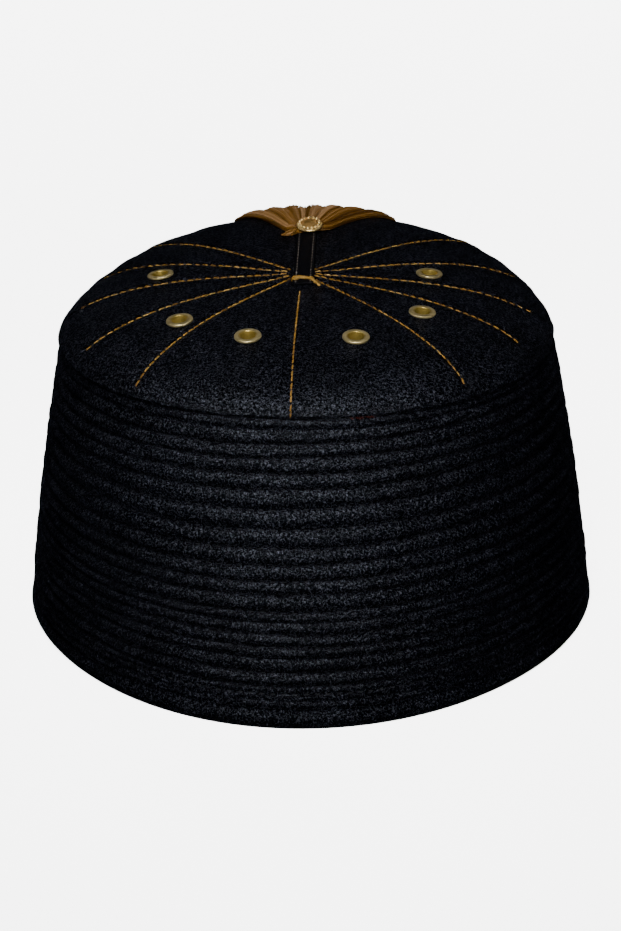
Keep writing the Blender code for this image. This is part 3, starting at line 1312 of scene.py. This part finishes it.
@dataclass
class Eyelets:
    """Six brass rings, each with a rolled flange, a barrel through the felt and a washer below."""

    form: HatForm
    places: Sequence[EyeletPlace] = EYELET_PLACES
    radius: float = 0.00425
    bore: float = 0.0026
    barrel: float = 0.0031
    flatness: float = 0.42       # a low value flattens the flange's crest
    throat: float = 0.0022       # the barrel narrows a little
    throat_depth: float = -0.0024
    height: float = 0.0010
    lip: float = 0.0001          # how far the edges of flange and throat turn under
    felt: float = 0.0026
    washer: float = 0.7          # height of the washer below, as a share of the flange's
    washer_width: float = 0.8    # its width, as a share of the flange's
    washer_round: float = 0.0003
    sides: int = 56

    def section(self) -> Profile:
        """The ring's section, from the flange's edge over its crest and down the barrel.

        Returns:
            The section's points.
        """
        low = -self.felt - GAP
        foot = low - self.washer * self.height
        middle = (self.radius + self.bore) / 2
        half = (self.radius - self.bore) / 2
        points = [(self.radius - self.lip, GAP * 0.5)]
        for step in range(13):
            turn = math.pi * step / 12
            points.append((middle + half * math.cos(turn),
                           GAP + (self.height - GAP) * math.sin(turn) ** self.flatness))
        for step in range(1, 9):
            share = step / 8
            points.append((self.bore + (self.throat - self.bore) * share ** 0.8,
                           GAP + (self.throat_depth - GAP) * share))
        points.append((self.throat + self.lip, self.throat_depth - 4 * self.lip))
        for step in range(7):
            turn = math.pi * step / 6
            points.append((middle - half * self.washer_width * math.cos(turn),
                           foot - self.washer_round * math.sin(turn)))
        return points + [(0.9 * self.radius, low), (self.barrel, low), (self.barrel, GAP * 0.5)]

    def build(self, brass: bpy.types.Material) -> list[bpy.types.Object]:
        """Make the six rings.

        Args:
            brass: Their material.

        Returns:
            The pieces.
        """
        pieces = []
        for number, place in enumerate(self.places, start=1):
            shape = spun(self.section(), self.sides, closed=True)
            # Painted shade: inside the bore the brass takes the darker colour, fading out over a quarter
            # of the bore's radius.
            untinted_unshaded = shape.verts.layers.float.new("untinted_unshaded")
            for vert in shape.verts:
                inward = (math.hypot(vert.co.x, vert.co.y) - self.bore) / (0.25 * self.bore)
                vert[untinted_unshaded] = clamped(inward) if vert.co.z < self.height else 1.0
            bmesh.ops.transform(shape, matrix=eyelet_frame(self.form, place), verts=shape.verts)
            pieces.append(add_piece(f"eyelet_ring_{number}", shape, brass,
                                    [f"eyelet_{number}"]))
        return pieces


# Strap, cap and tassel


@dataclass
class TasselStrap:
    """The flat tape over the crown, with its edge stitches and its bar tack."""

    crown: Crown
    width: float = 0.0068
    thickness: float = 0.0008
    front: tuple[float, float] = (-0.0009, -0.0090)
    back: tuple[float, float] = (-0.0026, 0.0366)
    tail: float = 0.0028         # tape that shows beyond the bar tack
    stitch_offset: float = 0.0023
    crimp: float = 0.00016       # depth that its rows of stitches press it in
    crimp_width: float = 0.0005
    edge_bevel: float = 0.00022
    columns: int = 10
    rows: int = 90
    tack_tones: tuple[float, float] = (0.50, 0.64)

    def place(self, across: float, along: float) -> Vector:
        """A point of the tape seen from above.

        Args:
            across: Distance from its middle line.
            along: 0 at its front end and 1 at its back end.

        Returns:
            The point of the plan.
        """
        front, back = Vector(self.front), Vector(self.back)
        run = (back - front).normalized()
        start = front - run * self.tail
        square = Vector((run.y, -run.x))
        return start.lerp(back, along) + square * across

    def build(self, tape: bpy.types.Material) -> bpy.types.Object:
        """Make the tape.

        Args:
            tape: Its material.

        Returns:
            The piece.
        """
        form = self.crown.form
        shape = bmesh.new()
        bmesh.ops.create_grid(shape, x_segments=self.columns, y_segments=self.rows, size=0.5)
        for vert in shape.verts:
            across, along = vert.co.x, vert.co.y + 0.5
            spot = self.place(across * self.width, along)
            sewn = abs(abs(across) * self.width - self.stitch_offset)
            pressed = self.crimp * math.exp(-(sewn / self.crimp_width) ** 2)
            vert.co = form.crown_spot(*spot).lifted(GAP - pressed).point
        bmesh.ops.recalc_face_normals(shape, faces=shape.faces)
        if sum(face.normal.z for face in shape.faces) < 0:
            bmesh.ops.reverse_faces(shape, faces=shape.faces)
        bmesh.ops.solidify(shape, geom=shape.faces[:], thickness=-self.thickness)
        bmesh.ops.recalc_face_normals(shape, faces=shape.faces)
        sharp = [edge for edge in shape.edges if edge.calc_face_angle(0.0) > 1.0]
        bmesh.ops.bevel(shape, geom=sharp, offset=self.edge_bevel, affect="EDGES", segments=2,
                        profile=0.5, material=-1)
        return add_piece("strap_tape", shape, tape, ["tassel_strap"])

    def route(self, across: float) -> Route:
        """A line along the tape's upper face, at a distance from its middle line."""
        places = [self.crown.form.crown_spot(*self.place(across, step / 80)) for step in range(81)]
        return Route([spot.lifted(GAP + self.thickness - 0.0001) for spot in places])

    def build_edge_stitches(self, thread: bpy.types.Material) -> bpy.types.Object:
        """Make the pale rows near the tape's edges.

        Args:
            thread: Their material.

        Returns:
            The piece.
        """
        sewer = Stitcher(pitch=0.0027, length=0.0018, radius=0.00017, proud=0.00020, seed=8)
        for side in (-1, 1):
            sewer.row(self.route(side * self.stitch_offset), margin=0.0004)
        return add_piece("strap_edge_stitches", sewer.shape, thread)

    def build_bar_tack(self, thread: bpy.types.Material) -> bpy.types.Object:
        """Make the thick gold stitches across the front end and their loose end.

        Args:
            thread: Their material.

        Returns:
            The piece.
        """
        form = self.crown.form
        sewer = Stitcher(pitch=0.003, length=0.003, radius=0.00046, proud=0.00060, seed=21,
                         stations=9, sink=0.0002)
        top = GAP + self.thickness
        tape_end = self.front[1] - self.tail + 0.0002
        # start and end of each stitch seen from above, front row first
        runs = (
            ((-0.0046, -0.0080), (0.0004, -0.0083)),
            ((-0.0040, -0.0089), (0.0016, -0.0084)),
            ((-0.0008, -0.0080), (0.0034, -0.0098)),
            ((0.0016, -0.0088), (0.0046, -0.0122)),
        )
        for number, (first, second) in enumerate(runs):
            spots = []
            for step in range(9):
                spot = Vector(first).lerp(Vector(second), step / 8)
                on_tape = abs(spot.x - self.front[0]) < self.width / 2 and spot.y > tape_end
                spots.append(form.crown_spot(*spot).lifted(top if on_tape else GAP))
            route = Route(spots)
            sewer.stitch(route, 0.0, route.length, self.tack_tones[number % 2])
        return add_piece("bar_tack", sewer.shape, thread)


@dataclass
class TasselCap:
    """The low brass button that holds the tassel: a flange, a ring of beads and a domed face."""

    form: HatForm
    centre: tuple[float, float] = (-0.0020, 0.0402)
    radius: float = 0.0042
    tilt: float = math.radians(12)
    lift: float = 0.0026
    sides: int = 72
    beads: int = 15
    bead_radius: float = 0.00050
    bead_ring: float = 0.0033    # radius of the ring that they stand in
    bead_height: float = 0.00095
    edge_width: float = 0.00028
    edge_height: float = 0.00032     # half the thickness of the flange's rounded edge
    face_height: float = 0.0008
    face_rise: float = 0.0007
    face_round: float = 0.8      # below 1 the face is fuller

    @property
    def frame(self) -> Matrix:
        """Its place: origin in the middle of its underside, +Z out of its face."""
        foot = self.form.crown_point(*self.centre) + Vector((0, 0, self.lift))
        return Matrix.Translation(foot) @ Matrix.Rotation(self.tilt, 4, "X")

    def section(self) -> Profile:
        """The button's section, from the underside's middle over the edge to the face's middle.

        Returns:
            The section's points.
        """
        points = [(0.0, 0.0), (0.6 * self.radius, 0.0), (0.97 * self.radius, 0.0)]
        for step in range(7):
            turn = math.radians(-60 + 25 * step)
            points.append((self.radius - self.edge_width + self.edge_width * math.cos(turn),
                           self.edge_height + self.edge_height * math.sin(turn)))
        groove = self.bead_ring
        points += [(groove + 0.00035, 0.00070), (groove, 0.00078), (groove - 0.00045, 0.00074)]
        dome = groove - 0.0006
        for step in range(9):
            share = 1 - step / 8
            rise = self.face_rise * math.cos(math.pi / 2 * share) ** self.face_round
            points.append((dome * share, self.face_height + rise))
        return points

    def build(self, brass: bpy.types.Material) -> bpy.types.Object:
        """Make the button with its beads.

        Args:
            brass: Its material.

        Returns:
            The piece.
        """
        shape = spun(self.section(), self.sides, closed=False)
        untinted_unshaded = shape.verts.layers.float.new("untinted_unshaded")
        for vert in shape.verts:
            vert[untinted_unshaded] = 1.0 if math.hypot(vert.co.x, vert.co.y) > self.bead_ring else 0.0
        for number in range(self.beads):
            turn = FULL_TURN * number / self.beads
            bead = bmesh.ops.create_icosphere(shape, subdivisions=3, radius=self.bead_radius)
            spot = (self.bead_ring * math.cos(turn), self.bead_ring * math.sin(turn), self.bead_height)
            bmesh.ops.translate(shape, verts=bead["verts"], vec=spot)
            for vert in bead["verts"]:
                vert[untinted_unshaded] = 1.0
        bmesh.ops.transform(shape, matrix=self.frame, verts=shape.verts)
        return add_piece("beaded_cap", shape, brass, ["tassel_cap"])


def curved(start: Vector, handle: Vector, end: Vector, share: float) -> Vector:
    """A point of the curve from a start to an end that a handle draws towards itself."""
    return start * (1 - share) ** 2 + handle * 2 * share * (1 - share) + end * share ** 2


@dataclass
class Tassel:
    """Silk threads gathered under the cap, fanned over the crown and hanging down the back."""

    form: HatForm
    cap: TasselCap
    head_left: tuple[float, float] = (-0.0088, 0.0380)
    head_right: tuple[float, float] = (0.0031, 0.0398)
    tuft_tip: tuple[float, float] = (-0.0094, 0.0360)
    spread: float = math.radians(27.5)
    thickness: float = 0.0028
    head_thickness: float = 0.0012
    head_share: float = 0.12     # share of a thread over which the pile thickens
    tail_from: float = 0.7       # share of it past which the pile thins
    tail_loss: float = 0.45      # how much thinner it is at the ends
    edge_share: float = 0.45     # thickness at the fan's edges, as a share of the middle's
    end_height: float = 0.0250
    end_spread: tuple[float, float] = (-0.002, 0.006)
    locks: int = 7
    relief: float = 0.48         # depth of the furrows between the locks, as a share of the pile
    parted_share: float = 0.5    # share of a thread past which the furrows are at full depth
    lock_point: float = 0.0080
    wave: tuple[float, float] = (0.0003, 0.0013)     # least and most sway of a thread
    pace: tuple[float, float] = (0.9, 2.6)           # least and most waves along it
    gather_share: float = 0.07   # share of a thread that rises to the cap
    gather_lift: tuple[float, float] = (0.0004, 0.0013)  # its rise, and how much more on top
    root_reach: float = 0.0018   # how far from the cap's middle the threads start
    bend_reach: float = 0.003    # how far behind its head a thread is straight
    crown_step: float = 0.0014   # step over the crown, and past its shoulder
    shoulder_step: float = 0.0004
    shoulder_from: float = 0.6
    threads: int = 1440
    tuft_threads: int = 60
    stations: int = 22
    sides: int = 3
    radius: float = 0.00023
    radius_spread: tuple[float, float] = (0.8, 1.15)
    base_tone: float = 0.40
    middle_tone: float = 0.36    # how much paler the fan's middle is
    middle_width: float = 0.38
    streak_tone: float = 0.42    # how strongly neighbours share a tone
    streaks: float = 13.0        # how fast the streaks change across the fan
    side_tone: float = 0.10      # how much darker it is towards +X
    painted_deep_shade: float = 0.14      # painted shade: how much darker a thread is next to the hat, under the rest of the pile
    stray_tone: float = 0.13     # how much a thread's tone strays by chance
    seed: int = 17

    def in_lock(self, across: float) -> float:
        """1 on the crest of a lock and 0 in the furrow beside it."""
        return abs(math.sin(math.pi * self.locks * (across + 1) / 2))

    def pile(self, along: float, across: float) -> float:
        """Thickness of the threads on the hat.

        Args:
            along: 0 at the head and 1 at the ends.
            across: -1 at the left edge and 1 at the right edge.

        Returns:
            The thickness in metres.
        """
        head = min(along / self.head_share, 1.0)
        body = self.head_thickness + (self.thickness - self.head_thickness) * head
        edge = self.edge_share + (1 - self.edge_share) * math.sqrt(max(1 - across * across, 0.0))
        tail = 1 - self.tail_loss * max(along - self.tail_from, 0.0) / (1 - self.tail_from)
        parted = min(along / self.parted_share, 1.0)
        return body * edge * tail * (1 - self.relief * (1 - self.in_lock(across)) * parted)

    def line(self, across: float, end_height: float) -> Route:
        """One line over the hat's surface, from under the cap to a thread's end.

        Args:
            across: -1 at the fan's left edge and 1 at its right edge.
            end_height: Height of its end.

        Returns:
            The route on the bare surface.
        """
        head = Vector(self.head_left).lerp(Vector(self.head_right), (across + 1) / 2)
        heading = Vector((math.sin(self.spread * across), math.cos(self.spread * across)))
        centre = Vector(self.cap.centre)
        reach = min(self.root_reach, (head - centre).length * 0.5)
        root = centre + (head - centre).normalized() * reach
        bend = head + heading * self.bend_reach
        spots = []
        for step in range(8):
            share = step / 8
            spots.append(self.form.crown_spot(*curved(root, head, bend, share)))
        plan = bend.copy()
        angle, turn = self.form.crown_turn(plan.x, plan.y)
        while turn > 0.05:
            course = 1 - turn / (math.pi / 2)
            spots.append(self.form.shell_spot(angle, course))
            plan += heading * (self.crown_step if course < self.shoulder_from else self.shoulder_step)
            angle, turn = self.form.crown_turn(plan.x, plan.y)
        end = 2 - end_height / self.form.shoulder_height
        spots += [self.form.shell_spot(angle, 1.0 + (end - 1.0) * step / 24) for step in range(25)]
        return Route(spots)

    def thread_spots(self, route: Route, across: float, depth: float,
                     chance: random.Random) -> list[Spot]:
        """The middle line of one thread over its line.

        Args:
            route: The line on the bare surface.
            across: Its place in the fan.
            depth: 0 next to the hat and 1 on top of the pile.
            chance: The source of chance.

        Returns:
            A spot for each ring of the thread.
        """
        wave = chance.uniform(*self.wave)
        pace = chance.uniform(*self.pace)
        phase = chance.uniform(0, FULL_TURN)
        spots = []
        for station in range(self.stations):
            along = station / (self.stations - 1)
            spot = route.at(route.length * along)
            before, after = (route.at(route.length * along + reach).point for reach in (-0.001, 0.001))
            side = spot.out.cross(after - before).normalized()
            loose = min(along * 1.6, 1.0) ** 2
            sway = wave * loose * math.sin(phase + pace * FULL_TURN * along)
            lift = 1.5 * GAP + self.pile(along, across) * depth
            gather = max(1 - along / self.gather_share, 0.0)
            lift += gather * (self.gather_lift[0] + self.gather_lift[1] * depth)
            spots.append(Spot(spot.point + side * sway + spot.out * lift, spot.out))
        return spots

    def tone(self, across: float, depth: float, chance: random.Random) -> float:
        """Shade of a long thread: pale in the fan's middle, in streaks, with painted shade low in the
        pile.

        Args:
            across: Its place in the fan.
            depth: 0 next to the hat and 1 on top of the pile.
            chance: The source of chance.

        Returns:
            The shade from 0 to 1.
        """
        pale = math.exp(-(across / self.middle_width) ** 2)
        streak = noise.noise(Vector((across * self.streaks, 0.5, depth * 1.5)))
        # The term with 1 - depth is painted shade for the threads under the rest of the pile.
        return clamped(self.base_tone + self.middle_tone * pale + self.streak_tone * streak
                       - self.side_tone * across - self.painted_deep_shade * (1 - depth)
                       + chance.gauss(0, self.stray_tone))

    def build(self, silk: bpy.types.Material) -> bpy.types.Object:
        """Make all threads.

        Args:
            silk: Their material.

        Returns:
            The piece.
        """
        chance = random.Random(self.seed)
        strand = Strand(self.sides, self.stations)
        shape = strand.sheet()
        for number in range(self.threads):
            across = -1 + 2 * (number + chance.random()) / self.threads
            depth = chance.random()
            end = self.end_height - self.lock_point * self.in_lock(across)
            end += chance.uniform(*self.end_spread)
            route = self.line(across, end)
            spots = self.thread_spots(route, across, depth, chance)
            radius = self.radius * chance.uniform(*self.radius_spread)
            radii = [radius] * (self.stations - 2) + [radius * 0.9, radius * 0.5]
            strand.lay(shape, spots, radii, self.tone(across, depth, chance))
        self.add_tuft(strand, shape, chance)
        return add_piece("tassel_threads", shape, silk, ["tassel"])

    def add_tuft(self, strand: Strand, shape: bmesh.types.BMesh, chance: random.Random) -> None:
        """Add the short threads that stick out to the left of the cap.

        Args:
            strand: The tube that threads are laid with.
            shape: The mesh that they are added to.
            chance: The source of chance.
        """
        centre = Vector(self.cap.centre)
        tip = Vector(self.tuft_tip)
        for _ in range(self.tuft_threads):
            end = tip + Vector((chance.gauss(0, 0.0010), chance.gauss(0.0004, 0.0007)))
            root = centre + Vector((-0.0012, chance.uniform(-0.0012, 0.0014)))
            middle = root.lerp(end, 0.55) + Vector((0, chance.uniform(0.0002, 0.0016)))
            depth = chance.random()
            spots = []
            for station in range(self.stations):
                share = station / (self.stations - 1)
                lift = 0.0004 + 0.0016 * depth * (1 - share ** 2) + 0.0003 * math.sin(math.pi * share)
                spots.append(self.form.crown_spot(*curved(root, middle, end, share)).lifted(lift))
            radii = [self.radius] * (self.stations - 2) + [self.radius * 0.8, self.radius * 0.4]
            strand.lay(shape, spots, radii, clamped(chance.gauss(0.5, 0.15)))


# Studio


@dataclass(frozen=True)
class Lamp:
    """A soft square lamp that looks at the hat."""

    name: str
    azimuth: float           # degrees round the hat from the front, positive towards +X
    elevation: float         # degrees above the floor
    distance: float
    size: float
    watts: float
    glossy: bool = True      # whether it shows in shiny surfaces
    spread: float = 180.0    # degrees that its grid lets the light out over


@dataclass
class Studio:
    """The floor, the lamps, the surrounding light and the camera."""

    target: tuple[float, float, float] = (0.0, 0.0, 0.04928)
    camera_azimuth: float = 3.9
    camera_elevation: float = 22.72
    camera_distance: float = 1.2975
    camera_roll: float = -0.603
    lens: float = 153.66
    sensor: float = 36.0
    clip: tuple[float, float] = (0.05, 20.0)
    shift: tuple[float, float] = (0.0009, -0.01073)
    floor_size: float = 6.0
    sky: float = 0.04
    lamps: Sequence[Lamp] = (
        Lamp("key_lamp", -2.0, 46.0, 0.70, 0.20, 0.37, spread=32.0),
        Lamp("fill_lamp", 4.0, 12.0, 0.85, 0.30, 4.5, glossy=False),
        Lamp("left_rear_lamp", -150.0, 14.0, 1.6, 0.7, 30.0, glossy=False),
        Lamp("right_rear_lamp", 150.0, 14.0, 1.6, 0.7, 30.0, glossy=False),
    )

    def spot(self, azimuth: float, elevation: float, distance: float) -> Vector:
        """A place round the hat.

        Args:
            azimuth: Degrees from the front, positive towards +X.
            elevation: Degrees above the floor.
            distance: Distance from the target.

        Returns:
            The point.
        """
        turn, rise = math.radians(azimuth), math.radians(elevation)
        way = Vector((math.cos(rise) * math.sin(turn), -math.cos(rise) * math.cos(turn), math.sin(rise)))
        return Vector(self.target) + way * distance

    def aim(self, thing: bpy.types.Object, place: Vector, roll: float = 0.0) -> None:
        """Put a lamp or camera at a place, looking at the hat.

        Args:
            thing: The lamp or camera.
            place: Where it stands.
            roll: Degrees that it is turned about its own line of sight.
        """
        turn = (Vector(self.target) - place).to_track_quat("-Z", "Y").to_matrix().to_4x4()
        thing.matrix_world = (Matrix.Translation(place) @ turn
                              @ Matrix.Rotation(math.radians(roll), 4, "Z"))

    def build_floor(self) -> None:
        """Lay the floor, which lights nothing else."""
        shape = bmesh.new()
        bmesh.ops.create_grid(shape, x_segments=2, y_segments=2, size=self.floor_size / 2)
        floor = in_scene("studio_floor", as_mesh("studio_floor", shape))
        floor.data.materials.append(FloorPaint().build())
        floor.visible_diffuse = False
        floor.visible_glossy = False

    def build_lamps(self) -> None:
        """Hang the lamps."""
        for lamp in self.lamps:
            light = bpy.data.lights.new(lamp.name, "AREA")
            light.shape = "SQUARE"
            light.size = lamp.size
            light.energy = lamp.watts
            light.spread = math.radians(lamp.spread)
            thing = in_scene(lamp.name, light)
            self.aim(thing, self.spot(lamp.azimuth, lamp.elevation, lamp.distance))
            thing.visible_glossy = lamp.glossy

    def build_sky(self) -> None:
        """Set the even light from all round."""
        world = bpy.data.worlds.new("studio_sky")
        bpy.context.scene.world = world
        world.use_nodes = True
        background = world.node_tree.nodes["Background"]
        background.inputs["Color"].default_value = (1.0, 1.0, 1.0, 1.0)
        background.inputs["Strength"].default_value = self.sky
        world.cycles_visibility.glossy = False

    def build_camera(self) -> None:
        """Stand the camera at the photograph's angle."""
        camera = bpy.data.cameras.new("camera")
        camera.lens = self.lens
        camera.sensor_width = self.sensor
        camera.shift_x, camera.shift_y = self.shift
        camera.clip_start, camera.clip_end = self.clip
        thing = in_scene("camera", camera)
        place = self.spot(self.camera_azimuth, self.camera_elevation, self.camera_distance)
        self.aim(thing, place, self.camera_roll)
        bpy.context.scene.camera = thing


def main() -> None:
    """Build the studio and the hat, piece by piece."""
    logging.basicConfig(level=logging.INFO, format="%(name)s: %(message)s")
    studio = Studio()
    studio.build_camera()
    studio.build_floor()
    studio.build_lamps()
    studio.build_sky()
    form = HatForm()
    felt = Felt().build()
    gold = GOLD_THREAD.build()
    brass = EYELET_BRASS.build()
    band = SideBand(form)
    band.build(felt)
    band.build_quilting(BLACK_THREAD.build())
    crown = Crown(form, band.seam_height)
    crown.build(felt)
    crown.build_topstitching(gold)
    SEAM_STITCHES.build(band, RED_THREAD.build())
    Eyelets(form).build(brass)
    strap = TasselStrap(crown)
    strap.build(Tape().build())
    strap.build_edge_stitches(PALE_THREAD.build())
    strap.build_bar_tack(gold)
    cap = TasselCap(form)
    cap.build(CAP_BRASS.build())
    Tassel(form, cap).build(SILK.build())


if __name__ == "__main__":
    main()
